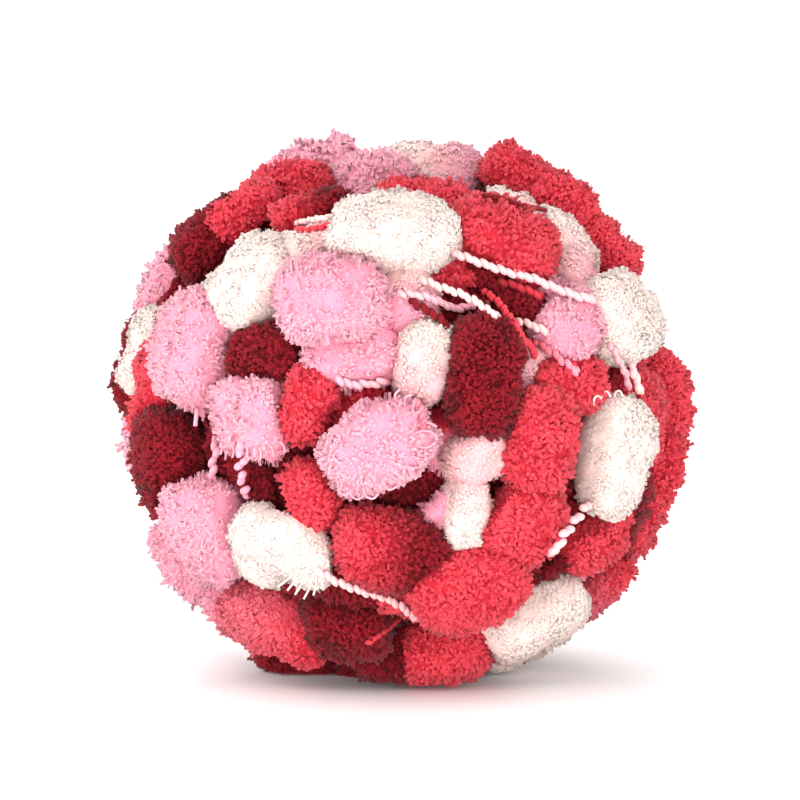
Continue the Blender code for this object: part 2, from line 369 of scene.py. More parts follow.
# The front of the ball, puff by puff, as it is seen from the eye. In millimetres and degrees: dye and
# tail are its two ends' colours, across and up give its middle, right of the ball's middle and above
# the surface, turn is how far its long side rises from level towards the tail, and deep is how far it
# lies behind the ball's face.
FRONT = [Puff(*row) for row in (
    # top of the ball, left to right
    ("pink", "pink", -30, 161.5, 2, 39, 26, 28),
    ("red", "red", -37.5, 156, -4, 36, 24, 8),
    ("red", "maroon", -29, 150, 4, 28, 17, 4),
    ("maroon", "maroon", -59.8, 141.4, 61, 36, 26, 0),
    ("red", "red", -51, 150, 28, 30, 21, -5),
    ("white", "white", -2.6, 142.5, -5, 44, 31, -4),
    ("white", "pink", 10.5, 162.5, -8, 38, 26, 27),
    ("red", "red", 8.5, 153, -6, 33, 20, 5),
    ("maroon", "maroon", 21, 167, -30, 20, 8, 20),
    ("red", "red", 39.5, 161, -8, 29, 22, 8),
    ("red", "red", 53.3, 153.3, -42, 29, 22, 4),
    ("white", "blush", 36.5, 152, -15, 22, 13, 7),
    ("white", "cream", 53, 140.5, -55, 29, 19, 4),
    ("red", "red", 65.8, 139.5, -60, 29, 22, 5),
    ("red", "red", 33.5, 140, -27, 42, 26, -2),
    # left side, downwards
    ("white", "white", -48, 126, 62, 36, 29, 2),
    ("white", "blush", -30, 138, 20, 28, 18, 3),
    ("pink", "pink", -74.5, 126.5, 60, 30, 22, 20),
    ("maroon", "maroon", -75, 124, 50, 15, 9, 8),
    ("pink", "pink", -67.5, 106, 78, 41, 35, 0),
    ("maroon", "maroon", -84.5, 100.5, 86, 36, 21, 20),
    ("white", "white", -81.5, 104, 86, 33, 21, 8),
    ("red", "red", -78, 91, 80, 38, 24, 12),
    ("maroon", "maroon", -75, 67.5, 84, 39, 28, 2),
    ("pink", "pink", -63, 46, 82, 39, 30, -2),
    ("pink", "pink", -70, 36, 115, 34, 24, 16),
    ("coral", "pink", -56, 21, 130, 28, 20, 14),
    # left of the middle, downwards
    ("pink", "pink", -22.5, 120.5, 0, 38, 32, -3),
    ("pink", "pink", -17, 102, 5, 35, 22, 6),
    ("maroon", "maroon", -43.5, 103, -10, 31, 24, 7),
    ("pink", "pink", -54, 84, 88, 27, 17, 2),
    ("pink", "pink", -45.5, 83, 92, 29, 17, 0),
    ("red", "red", -30, 88.5, 75, 28, 22, 5),
    ("red", "red", -16, 88, 20, 28, 20, 14),
    ("pink", "pink", -7.5, 73, 30, 39.5, 28, -3),
    ("maroon", "maroon", -45, 61, 90, 22, 18, 12),
    ("red", "red", -29, 57.5, 105, 25, 19, 6),
    ("white", "white", -38, 41, -20, 38, 22, -2),
    ("white", "white", -46.5, 36, -8, 23, 17, -1),
    ("red", "maroon", -4, 40, -15, 39, 29, 2),
    ("coral", "red", -39.5, 16, -27, 42, 27, 0),
    ("maroon", "maroon", -17, 16, 0, 32, 28, 6),
    ("maroon", "maroon", -33, 4, 0, 31, 23, 12),
    ("maroon", "maroon", -5, 6, 0, 26, 24, 5),
    # middle of the ball
    ("pink", "white", 2, 123, 90, 28, 22, 6),
    ("blush", "white", 8, 101, 78, 30, 21, 4),
    ("maroon", "maroon", 27, 97, 83, 41, 27, -1),
    ("red", "red", 15, 130, 10, 22, 14, 6),
    ("maroon", "maroon", 28, 129, -30, 28, 20, 9),
    ("maroon", "maroon", 40, 118, -30, 26, 20, 8),
    ("pink", "pink", 47, 125, -30, 24, 17, 7),
    ("pink", "maroon", 13, 80, 98, 26, 18, 12),
    ("blush", "blush", 25, 69.5, 25, 22, 21, 3),
    ("white", "cream", 22.5, 52.5, 88, 27, 18, 2),
    ("pink", "pink", 14.5, 53, 40, 20, 12, 5),
    ("red", "red", 22, 28, 18, 42, 30, -5.5),
    ("red", "red", 14, 7, 0, 32, 27, 2),
    # right side, downwards
    ("pink", "pink", 54, 112, 40, 31, 25, 2),
    ("pink", "blush", 41, 95, 62, 26, 16, 5),
    ("blush", "pink", 57, 127, -20, 22, 18, 5),
    ("white", "white", 71, 114.8, 110, 33, 33, -8),
    ("red", "red", 54.5, 93.5, 8, 35, 21, 2),
    ("red", "red", 44.5, 76, 80, 39, 26, -2),
    ("red", "red", 39, 48.5, 62, 31, 27, -2),
    ("white", "white", 70, 71, 91, 43, 25, -4),
    ("red", "red", 85.5, 90.5, 108, 32, 23, 16),
    ("red", "red", 82, 66, 82, 38, 24, 18),
    ("red", "red", 77.3, 50.4, 60, 26, 20, 12),
    ("red", "red", 63, 43.5, -8, 31, 21, 3),
    ("coral", "red", 65.5, 29, 40, 26, 20, 24),
    ("white", "white", 43.5, 18.5, 28, 38, 29, 1),
    ("maroon", "maroon", 51, 35, 15, 16, 9, 4),
    ("pink", "pink", 59, 34, 50, 14, 12, 6),
    ("white", "white", 36, 9, 8, 26, 20, 7),
)]

Thread = namedtuple("Thread", "dye tail size route turn slack", defaults=(0.0, 0.0))

# The stretches of thread that show between the front puffs: their ends' colours, their size as a share
# of the thread's own, and their route as places right of the ball's middle and above the surface in the
# same view, in millimetres. Some have the turn in degrees of another view round the ball, and how slack
# they lie, from 0 to 1: the beads of a slack thread swing out to its sides.
THREADS = [Thread(*row) for row in (
    ("cream", "blush", 0.78,
     ((17, 137.5), (26, 134), (35, 131), (43, 129), (50, 126), (58, 123), (63, 122))),
    ("cream", "cream", 0.72, ((6, 129), (13, 126), (19, 124), (25, 121), (29, 118), (32, 116))),
    ("blush", "pink", 0.7, ((-1, 124), (7, 123), (13, 121), (18, 119), (24, 120))),
    ("maroon", "maroon", 0.8, ((3, 122), (7, 119), (11, 117), (15, 113))),
    ("red", "red", 0.7,
     ((27, 125), (32, 121), (35, 117), (38, 113), (40, 109), (43, 106), (44, 103))),
    ("red", "pink", 0.7, ((44, 108), (49, 105), (54, 101), (58, 98)), 0.0, 0.4),
    ("maroon", "red", 0.75, ((32, 128), (39, 126), (46, 123))),
    ("cream", "cream", 0.75, ((38, 115), (44, 113), (48, 111))),
    ("pink", "pink", 0.8, ((-61, 76), (-61, 71), (-62, 67), (-62, 63)), 0.0, 0.9),
    ("pink", "pink", 0.85, ((-53, 74), (-52, 69), (-53, 66), (-52, 62), (-51, 58)), 0.0, 0.9),
    ("cream", "blush", 0.78, ((-28, 33), (-21, 29), (-16, 27), (-10, 25), (-6, 24), (0, 21), (5, 17))),
    ("cream", "blush", 0.95,
     ((62, 55), (59.5, 52), (57, 49), (54.5, 45.5), (52, 42), (50, 39)), 0.0, 0.6),
    ("red", "red", 0.6, ((-1, 17), (-4, 14), (-8, 11), (-11, 9))),
    ("pink", "blush", 0.75, ((-21, 96), (-17, 94), (-13, 94), (-10, 94), (-5, 95))),
    ("blush", "white", 0.62, ((-34.5, 147), (-30, 148), (-23, 149))),
    ("red", "red", 0.6, ((-35, 145), (-30, 145), (-23, 146.5))),
    ("blush", "pink", 0.65, ((68.6, 107.4), (71.2, 102.8), (73.8, 97.6), (75, 92.1)), 0.0, 0.6),
    ("maroon", "maroon", 0.45, ((23.8, 157), (29.1, 156.1), (34, 155.1), (38.9, 153.1), (48, 151.2))),
    ("blush", "white", 0.8,
     ((75.7, 101.5), (76.4, 98.9), (77.1, 96.3), (78, 93.7), (78.7, 91.1)), 0.0, 0.7),
    ("pink", "coral", 0.55, ((4.6, 89.5), (6.2, 86.5), (7.2, 83.3), (7.5, 79.3))),
    # round the sides and the back
    ("pink", "red", 0.7, ((0, 72), (8, 62), (15, 51), (21, 39)), 100.0),
    ("blush", "white", 0.7, ((-2, 131), (12, 128), (26, 123), (40, 116)), 160.0),
    ("white", "pink", 0.75, ((2, 108), (10, 98), (17, 86), (22, 73)), 205.0),
    ("white", "white", 0.7, ((-36, 134), (-22, 129), (-8, 123), (4, 116)), 255.0),
)]

Loose = namedtuple("Loose", "dye thick route")

# Single strands that have come away from the front puffs: dye, thickness in millimetres, and route in
# the same view, in millimetres. The first end is rooted in the pile and the last one is free.
LOOSE = [Loose(*row) for row in (
    # round the pink puff in the middle
    ("pink", 0.75, ((-20.5, 62), (-20.5, 59.4), (-18.8, 57.6), (-16.9, 58.4))),
    ("pink", 0.75, ((-17, 60.5), (-16.4, 57.6), (-14.2, 56.2), (-12.2, 57.6))),
    ("pink", 0.75, ((-12.6, 60.4), (-11.4, 57.2), (-9.2, 56.4), (-7.4, 58))),
    ("pink", 0.8, ((-6.9, 61.7), (-3.9, 59.4), (-1, 60.7))),
    ("pink", 0.8, ((1.3, 66.9), (4.9, 66.6), (8.2, 67.9))),
    ("pink", 0.8, ((2.9, 70.5), (7.2, 69.5), (10.4, 70.9))),
    ("pink", 0.8, ((3.9, 74.1), (8.2, 73.1), (11.4, 74.8))),
    ("pink", 0.8, ((3.6, 77.4), (7.5, 78.7), (10.8, 77.7), (11.8, 75.7))),
    ("pink", 0.8, ((-1.3, 87.8), (-2, 90.4), (-0.3, 92.4))),
    ("pink", 0.8, ((1, 86.8), (1.6, 89.8), (3.6, 90.4))),
    ("pink", 0.8, ((5.2, 80.3), (8.8, 81.3), (11.8, 80))),
    # below the white puff at the lower left
    ("white", 0.7, ((-28.6, 33), (-30, 27.4), (-32, 23.4))),
    ("white", 0.7, ((-30.7, 32), (-33, 27.8), (-34.9, 24.8))),
    ("white", 0.7, ((-28, 32.3), (-28, 28.2), (-28.8, 24.6))),
    ("white", 0.7, ((-26.4, 33.3), (-25.8, 29.8), (-26.2, 26.6))),
    ("white", 0.7, ((-32, 32.3), (-35.1, 29), (-37.4, 26.2))),
    ("white", 0.7, ((-34, 32.3), (-37.6, 29.6), (-40.4, 27.4))),
    ("white", 0.8, ((-24.2, 36.9), (-20.9, 35.6), (-18.9, 33.6))),
    # below the small pink puff at the left
    ("pink", 0.8, ((-58.8, 75.4), (-58.8, 73.1), (-59.4, 70.9))),
    ("pink", 0.8, ((-55.2, 74.4), (-54.9, 71.8), (-55.5, 69.9))),
    ("pink", 0.8, ((-50.3, 73.8), (-50.6, 71.2), (-50, 69.2))),
    ("pink", 0.8, ((-46.7, 73.8), (-46, 71.2), (-46.4, 69.2))),
    ("pink", 0.8, ((-43.1, 74.4), (-42.1, 71.8), (-42.4, 70.2))),
    ("pink", 0.8, ((-40.2, 75.7), (-38.5, 73.5), (-38.2, 71.5))),
    # here and there
    ("white", 0.7, ((66, 88.5), (66.4, 90.8), (67.8, 91.6), (69, 89.8))),
    ("white", 0.7, ((63.4, 87), (63.6, 89.4), (65, 90.2), (66.2, 88.6))),
    ("white", 0.7, ((70, 89), (70.6, 91.4), (72, 91.8), (73, 89.8))),
    ("blush", 1.0, ((54.2, 97.6), (55.5, 99.9), (57.5, 99.6), (57.8, 97.3))),
    ("pink", 1.4, ((-66.9, 86.2), (-67.3, 83.3), (-67.6, 80.3))),
)]


def linear(code):
    """The linear colour of an sRGB hex value."""
    parts = [int(code[start:start + 2], 16) / 255.0 for start in (1, 3, 5)]
    return tuple(part / 12.92 if part <= 0.04045 else ((part + 0.055) / 1.055) ** 2.4 for part in parts)


def dye_setting(name, description, code):
    return FloatVectorProperty(name=name, description=description, subtype="COLOR", default=linear(code),
                               min=0.0, max=1.0)


def size_setting(name, description, default, least=0.0):
    return FloatProperty(name=name, description=description, default=default, min=least, unit="LENGTH")


def power_setting(name, description, default):
    return FloatProperty(name=name, description=description, default=default, min=0.0, unit="POWER")


class YarnDyes(bpy.types.PropertyGroup):
    """Colours of the space-dyed yarn at the strands' tips, and darker root colours that paint the shade
    deep in the pile.
    """

    white: dye_setting("White", "Undyed stretches", "#E8D6CE")
    blush: dye_setting("Blush", "Where pink fades into white", "#E9B3B1")
    pink: dye_setting("Pink", "Pink stretches", "#E6A4B2")
    red: dye_setting("Red", "Red stretches", "#DF424F")
    maroon: dye_setting("Maroon", "Dark stretches", "#840F1C")
    # Painted shade: the root colours are darker, fuller copies of the dyes for the shade deep in the pile
    white_root: dye_setting("White root", "Undyed stretches, deep in the pile", "#F3C9C0")
    blush_root: dye_setting("Blush root", "Fading stretches, deep in the pile", "#E8AFB8")
    pink_root: dye_setting("Pink root", "Pink stretches, deep in the pile", "#E4869F")
    red_root: dye_setting("Red root", "Red stretches, deep in the pile", "#AC1A2A")
    maroon_root: dye_setting("Maroon root", "Dark stretches, deep in the pile", "#48060C")


class PileSizes(bpy.types.PropertyGroup):
    """Sizes of the cut strands."""

    groove_deep: size_setting("Groove depth", "Depth of the partings that cross a puff", 0.0010)
    root_depth: size_setting("Root depth", "How deep in the puff a strand starts", 0.0024, 0.001)
    curl: size_setting("Curl", "How far a strand's cut end leans to one side", 0.0016)
    pitch: size_setting("Pitch", "Distance between neighbouring strands", 0.00127, 0.0008)
    back_share: FloatProperty(name="Back coarseness", subtype="FACTOR", default=1.42, min=1.0,
                              description="Strand size and pitch on the back of the ball")
    lump_high: size_setting("Lump height", "How far a puff's outline swells and sinks", 0.0030)
    lump_long: size_setting("Lump length", "Size of the swellings on a puff", 0.016, 0.002)
    skin_depth: size_setting("Skin depth", "How deep in the packed solid the cut ends lie", 0.0007)
    clump_wide: size_setting("Clump width", "Distance between the crumbs that strands cling to",
                             0.0024, 0.001)
    parted_long: size_setting("Parted length", "Size of the patches where the crumbs part widest",
                              0.011, 0.002)
    crack_long: size_setting("Crack length", "Size of the net of cracks in the pile", 0.0055, 0.001)
    clump_high: size_setting("Clump height", "How unevenly high the crumbs stand", 0.00055)


class ThreadSizes(bpy.types.PropertyGroup):
    """Sizes of the two-ply thread that carries the puffs."""

    bead_thick: size_setting("Thickness", "Thickness of the thread over its beads", 0.0033, 0.0005)
    bead_pitch: size_setting("Bead pitch", "Distance between neighbouring beads", 0.0035, 0.0005)


class StageSettings(bpy.types.PropertyGroup):
    """The studio around the ball."""

    key_power: power_setting("Key light", "Power of the large light above the front", 3.9)
    front_power: power_setting("Front light", "Power of the large light beside the camera", 1.3)
    side_power: power_setting("Side lights", "Power of each light beside the ball", 2.7)
    low_power: power_setting("Low light", "Power of the strip low in front of the ball", 1.3)
    back_power: power_setting("Back light", "Power of the large light above the back", 4.8)
    sky: FloatProperty(name="Surrounding light", description="Brightness of the white surroundings",
                       default=1.34, min=0.0)
    floor_wide: size_setting("Floor width", "Side of the square floor", 6.0, 0.5)


def ball_foot():
    return Vector((*SET_OVER, 0.0))


def ball_middle():
    return ball_foot() + Vector((0.0, 0.0, BALL_TALL / 2.0 - SUNK))


def puff_reach():
    """Half sizes of the egg on which the puffs' middles lie."""
    return Vector((BALL_WIDE, BALL_DEEP, BALL_TALL)) / 2.0 - Vector((PUFF_SINK,) * 3)


def by_axis(first, second):
    return Vector((first.x / second.x, first.y / second.y, first.z / second.z))


def outward(point):
    """The ball's outward direction at a point near its surface."""
    reach = puff_reach()
    offset = point - ball_middle()
    return by_axis(by_axis(offset, reach), reach).normalized()


def eye_frame(turn=0.0):
    """The eye's right and up directions, and its place, walked round the ball by a turn in degrees."""
    round_z = Matrix.Rotation(math.radians(turn), 3, "Z")
    forward = round_z @ Vector((0.0, math.cos(EYE_RISE), -math.sin(EYE_RISE)))
    right = round_z @ Vector((1.0, 0.0, 0.0))
    up = right.cross(forward)
    return right, up, ball_middle() - forward * EYE_AWAY


def sight_line(across, up, turn=0.0):
    """The eye, and its direction to a place in the view."""
    eye_right, eye_up, eye = eye_frame(turn)
    target = ball_foot() + eye_right * across + eye_up * up
    return eye, (target - eye).normalized()


def on_the_face(across, up, deep):
    """The point of the puffs' egg on the sight line to a place in the view, deep behind the near face."""
    eye, ray = sight_line(across, up)
    reach = puff_reach()
    start = by_axis(eye - ball_middle(), reach)
    step = by_axis(ray, reach)
    square = step.dot(step)
    towards = start.dot(step)
    outside = start.dot(start) - 1.0
    root = max(towards * towards - square * outside, 0.0)
    travel = (-towards - math.sqrt(root)) / square
    return eye + ray * (travel + deep)


def lie_along(out, wish):
    """The direction nearest to a wish that lies flat on the ball."""
    flat = wish - out * wish.dot(out)
    return flat.normalized()


# A puff on the ball: its two ends' dyes, its middle, its long way and its way out of the ball, its sizes,
# and how coarse its pile is
Place = namedtuple("Place", "dye tail middle along out long wide thick coarse", defaults=(1.0,))


def front_places():
    eye_right, eye_up, eye = eye_frame()
    places = []
    for puff in FRONT:
        middle = on_the_face(puff.across * MM, puff.up * MM, puff.deep * MM)
        true_size = (1.0 + (middle - eye).length / EYE_AWAY) / 2.0
        turn = math.radians(puff.turn)
        seen = eye_right * math.cos(turn) + eye_up * math.sin(turn)
        out = outward(middle)
        long = puff.long * MM * true_size
        wide = puff.wide * MM * true_size
        thick = min(puff.wide * MM, PUFF_WIDE) * PUFF_THICK_SHARE
        places.append(Place(puff.dye, puff.tail, middle, lie_along(out, seen), out, long, wide, thick))
    return places


def spiral_way(number, count):
    """One of many directions that are spread evenly."""
    height = 1.0 - 2.0 * (number + 0.5) / count
    ring = math.sqrt(1.0 - height * height)
    turn = number * GOLDEN_TURN
    return Vector((ring * math.cos(turn), ring * math.sin(turn), height))


def on_egg(away):
    """The point of the puffs' egg in a direction."""
    reach = puff_reach()
    return ball_middle() + Vector((away.x * reach.x, away.y * reach.y, away.z * reach.z))


def rule_place(away, middle, dye, size):
    """A puff whose long side follows the winding's swirl."""
    out = outward(middle)
    swirl = Vector([math.sin(away[(axis + 1) % 3] * SWIRL + axis) for axis in range(3)])
    return Place(dye, dye, middle, lie_along(out, swirl), out,
                 PUFF_LONG * size, PUFF_WIDE * size, PUFF_WIDE * size * PUFF_THICK_SHARE)


def nearest_of(middle, places):
    return min(places, key=lambda other: (middle - other.middle).length)


def fill_places(taken):
    """Puffs spread evenly over the whole ball, left out where one already lies."""
    chance = random.Random(FILL_SEED)
    places = []
    for number in range(FILL_COUNT):
        away = spiral_way(number, FILL_COUNT)
        middle = on_egg(away)
        middle += Vector([chance.uniform(-FILL_STRAY, FILL_STRAY) for _ in range(3)])
        sink = chance.uniform(*FILL_SINK)
        if away.y < FRONT_EDGE:
            sink = FRONT_GAP_SINK
        if away.z < FOOT_EDGE:
            sink = FOOT_SINK
        middle += outward(middle) * sink
        size = chance.uniform(*FILL_SIZE)
        if (middle - nearest_of(middle, taken + places).middle).length < FILL_CLEAR:
            continue
        dye = DYE_RUN[len(places) % len(DYE_RUN)]
        if away.y < FRONT_EDGE:
            dye = nearest_of(middle, [other for other in taken if other.dye not in TOO_PALE]).dye
        places.append(rule_place(away, middle, dye, size))
    return places


def gap_places(taken):
    """The smaller puffs that lie deeper, in the hollows, in maroon as painted shade."""
    places = []
    for number in range(GAP_COUNT):
        away = spiral_way(number, GAP_COUNT)
        if away.y < GAP_EDGE or abs(away.z) > GAP_HIGH:
            continue
        middle = on_egg(away)
        middle += outward(middle) * GAP_SINK
        if (middle - nearest_of(middle, taken + places).middle).length > GAP_CLEAR:
            places.append(rule_place(away, middle, "maroon", GAP_SIZE))
    return places


def core_place():
    """The wound middle of the ball as one large puff, in maroon: painted shade at the hollows' bottoms."""
    share = CORE_SHARE * CORE_SHRUNK
    return Place("maroon", "maroon", ball_middle(), Vector((1.0, 0.0, 0.0)), Vector((0.0, 0.0, 1.0)),
                 BALL_WIDE * share, BALL_DEEP * share, BALL_TALL * share, CORE_COARSE)


def all_places():
    places = front_places()
    places += fill_places(places)
    places += gap_places(places)
    return places + [core_place()]


# A puff's own axes are its long side, its width and the way out of the ball. Points on it are worked
# out as arrays, one row a point.

def axes_of(place):
    """The puff's three axes, as rows."""
    return np.array((place.along, place.out.cross(place.along), place.out))


def half_of(place):
    return np.array((place.long, place.wide, place.thick)) / 2.0


def to_ball(place, local):
    return np.array(place.middle) + local @ axes_of(place)


def to_puff(place, points):
    return (points - np.array(place.middle)) @ axes_of(place).T


def pillow_size(share):
    """How far out a point lies in a puff, as a share of its surface, from its places in half sizes."""
    return (np.abs(share) ** PILLOW).sum(1) ** (1.0 / PILLOW)


def unit_rows(rows):
    return rows / np.maximum(np.linalg.norm(rows, axis=1, keepdims=True), NO_LENGTH)


def across_rows(rows, ways):
    """The unit parts of rows that lie across some ways."""
    return unit_rows(rows - ways * (rows * ways).sum(1, keepdims=True))


def in_chart(places, rim=CHART_RIM):
    return np.clip(places, rim, 1.0 - rim)


def spread_on(place, pitch, first_turn):
    """Evenly spread points on a puff, in half sizes: a spiral whose turns are a pitch apart."""
    half = half_of(place)
    steps = np.linspace(-1.0, 1.0, SPREAD_SLICES + 1)
    ring = (1.0 - np.abs(steps) ** PILLOW) ** (1.0 / PILLOW)
    girth = 2.0 * math.pi * math.sqrt((half[1] ** 2 + half[2] ** 2) / 2.0) * ring
    run = np.hypot(np.diff(steps) * half[0], np.diff(ring) * (half[1] + half[2]) / 2.0)
    area = np.concatenate(((0.0,), np.cumsum(run * (girth[1:] + girth[:-1]) / 2.0)))
    number = int(area[-1] / (pitch * pitch * HEX_ROW))
    index = np.arange(number) + 0.5
    lengthwise = np.interp(index / number * area[-1], area, steps)
    turn = index * GOLDEN_TURN + first_turn
    round_part = np.stack((np.cos(turn), np.sin(turn)), 1)
    round_part /= ((np.abs(round_part) ** PILLOW).sum(1) ** (1.0 / PILLOW))[:, None]
    radius = (1.0 - np.abs(lengthwise) ** PILLOW) ** (1.0 / PILLOW)
    return np.column_stack((lengthwise, round_part * radius[:, None]))


def out_of_puff(place, share):
    """The way out of the puff at points on it, in the puff's axes."""
    return unit_rows(np.sign(share) * np.abs(share) ** (PILLOW - 1.0) / half_of(place))


def noise_at(points, size):
    noise.seed_set(NOISE_SEED)
    return np.array([noise.noise_vector(Vector(point) / size) for point in points]).reshape(-1, 3)


def nearest_other(places, number, points, rises):
    """How far out of the nearest other puff points lie, as a share of its size with its swellings."""
    own = places[number]
    nearest = np.full(len(points), FAR_OUT)
    for other_number, other in enumerate(places):
        apart = (other.middle - own.middle).length
        if other_number == number or apart > (own.long + other.long) / 2.0 + TOUCH_ROOM:
            continue
        size = pillow_size(to_puff(other, points) / half_of(other)) - rises[:, 0] / half_of(other).mean()
        nearest = np.minimum(nearest, size)
    return nearest


def cracks_at(points, pile):
    """How parted the pile is at points: a net of cracks, wide in some patches and closed in others."""
    parted = PARTED_MEAN + PARTED_CHANGE * noise_at(points, pile.parted_long)[:, 2]
    parted = np.clip(parted, PARTED_LEAST, 1.0)
    net = np.clip(1.0 - np.abs(noise_at(points, pile.crack_long)[:, 0]) / CRACK_WIDE, 0.0, 1.0)
    return parted, net * parted


def unit_ball(rounds):
    """A unit ball's points and triangles, as arrays."""
    mesh = bmesh.new()
    bmesh.ops.create_icosphere(mesh, subdivisions=rounds, radius=1.0)
    points = np.array([vertex.co for vertex in mesh.verts])
    faces = np.array([[vertex.index for vertex in face.verts] for face in mesh.faces])
    mesh.free()
    return points, faces


def swell(points):
    """How far the pile stands out or sinks in at points on the puffs."""
    pile = bpy.context.scene.yarn_pile
    large = noise_at(points, pile.lump_long)
    small = noise_at(points, pile.lump_long * SMALL_LUMP_LONG)
    groove = np.clip(1.0 - np.abs(large[:, 1:2]) / GROOVE_WIDE, 0.0, 1.0)
    lump = large[:, :1] + small[:, :1] * SMALL_LUMP_HIGH
    return lump * pile.lump_high - groove * pile.groove_deep - pile.skin_depth


def puff_shells(places, depths):
    """All the puffs' surfaces, each at a depth under its skin: points, triangles and the points' puffs."""
    ball, faces = unit_ball(SHELL_ROUNDS)
    ball = ball / pillow_size(ball)[:, None]
    parts = []
    for place, depth in zip(places, depths, strict=True):
        skin = to_ball(place, ball * half_of(place))
        out = out_of_puff(place, ball) @ axes_of(place)
        parts.append(skin + out * (swell(skin) - depth))
    count = len(ball)
    all_faces = np.concatenate([faces + count * number for number in range(len(places))])
    return np.concatenate(parts), all_faces, np.repeat(np.arange(len(places)), count)


def shell_tree(places, depth):
    """The puffs' surfaces at one depth, for lines to be cast at."""
    points, faces, _ = puff_shells(places, [depth] * len(places))
    return BVHTree.FromPolygons([tuple(point) for point in points], [tuple(face) for face in faces])


def press_on_floor(points):
    """Lets the lowest points give way on the floor."""
    soft = FLOOR_SOFT - FLOOR_GAP
    low = points[:, 2] < FLOOR_SOFT
    points[low, 2] = FLOOR_GAP + soft * np.exp((points[low, 2] - FLOOR_SOFT) / soft)
    return points


def open_share(tree, points, outs, reach):
    """The share of some lines outwards from points that pass the neighbouring puffs."""
    tilts = [(0.0, 0.0)]
    for step in range(SIGHT_LINES):
        turn = 2.0 * math.pi * step / SIGHT_LINES
        tilts.append((math.cos(turn) * SIGHT_TILT, math.sin(turn) * SIGHT_TILT))
    found = np.zeros(len(points))
    for number, (point, out) in enumerate(zip(points, outs, strict=True)):
        out = Vector(out)
        side = out.orthogonal().normalized()
        other = out.cross(side)
        start = Vector(point) + out * SIGHT_START * MM
        for across, up in tilts:
            line = (out + side * across + other * up).normalized()
            if tree.ray_cast(start, line, reach)[0] is None:
                found[number] += 1.0 / len(tilts)
    return found


# Many strands, a row each: their two ends, thickness, the way out of the puff, places across and up the
# dye chart, lower up it being painted shade, and the puff's shade and soft from STANDS
Strands = namedtuple("Strands", "root tip thick out dye depth shade soft")


def joined(parts):
    return Strands(*(np.concatenate(column) for column in zip(*parts, strict=True)))


def pick(kept, *columns):
    return [column[kept] for column in columns]


def dye_along(place, along_share):
    """Places on the dye chart for points along a puff, from its dye at -1 to its tail at 1."""
    mix = np.clip(along_share * FADE_STEEP + 0.5, 0.0, 1.0)
    mix = mix * mix * (3.0 - 2.0 * mix)
    return ALL_PLACES[place.dye] * (1.0 - mix) + ALL_PLACES[place.tail] * mix


def clumps(place, points, wide, chance):
    """The way from each point to the crumb that it clings to, and how high that crumb stands."""
    centres = spread_on(place, wide, chance.uniform(0.0, FIRST_TURN))
    skin = to_ball(place, centres * half_of(place))
    skin += (out_of_puff(place, centres) @ axes_of(place)) * swell(skin)
    skin += chance.normal(0.0, wide * CRUMB_STRAY, skin.shape)
    crumbs = KDTree(len(skin))
    for number, centre in enumerate(skin):
        crumbs.insert(centre, number)
    crumbs.balance()
    nearest = np.array([crumbs.find(point)[1] for point in points])
    return skin[nearest] - points, chance.normal(size=len(skin))[nearest]


def on_back(place):
    return place.middle.y > ball_middle().y + RIM_DEEP


def shown_skin(places, number, tree, pitch, edge, chance):
    """Evenly spread points on a puff, outside the others: their places in half sizes, the ways out of the
    puff, the points, how far out each lies from the nearest other puff, and its share of open lines.
    """
    place = places[number]
    share = spread_on(place, pitch, chance.uniform(0.0, FIRST_TURN))
    out = out_of_puff(place, share) @ axes_of(place)
    skin = to_ball(place, share * half_of(place))
    rises = swell(skin)
    skin = skin + out * rises
    near = nearest_other(places, number, skin, rises)
    share, out, skin, near = pick(near > edge, share, out, skin, near)
    return share, out, skin, near, open_share(tree, skin, out, SIGHT_FAR)


def strand_leans(place, share, out, rough, chance):
    """The ways that strands stand: out of the puff, and apart from each other like a fan."""
    half = half_of(place)
    local = share * half
    spine = np.zeros_like(local)
    spine[:, 0] = np.clip(local[:, 0], -SPINE_LONG * half[0], SPINE_LONG * half[0]) * SPINE_SHARE
    away = unit_rows((local - spine) @ axes_of(place))
    return unit_rows(away + out + chance.normal(0.0, LEAN_STRAY * rough, out.shape))


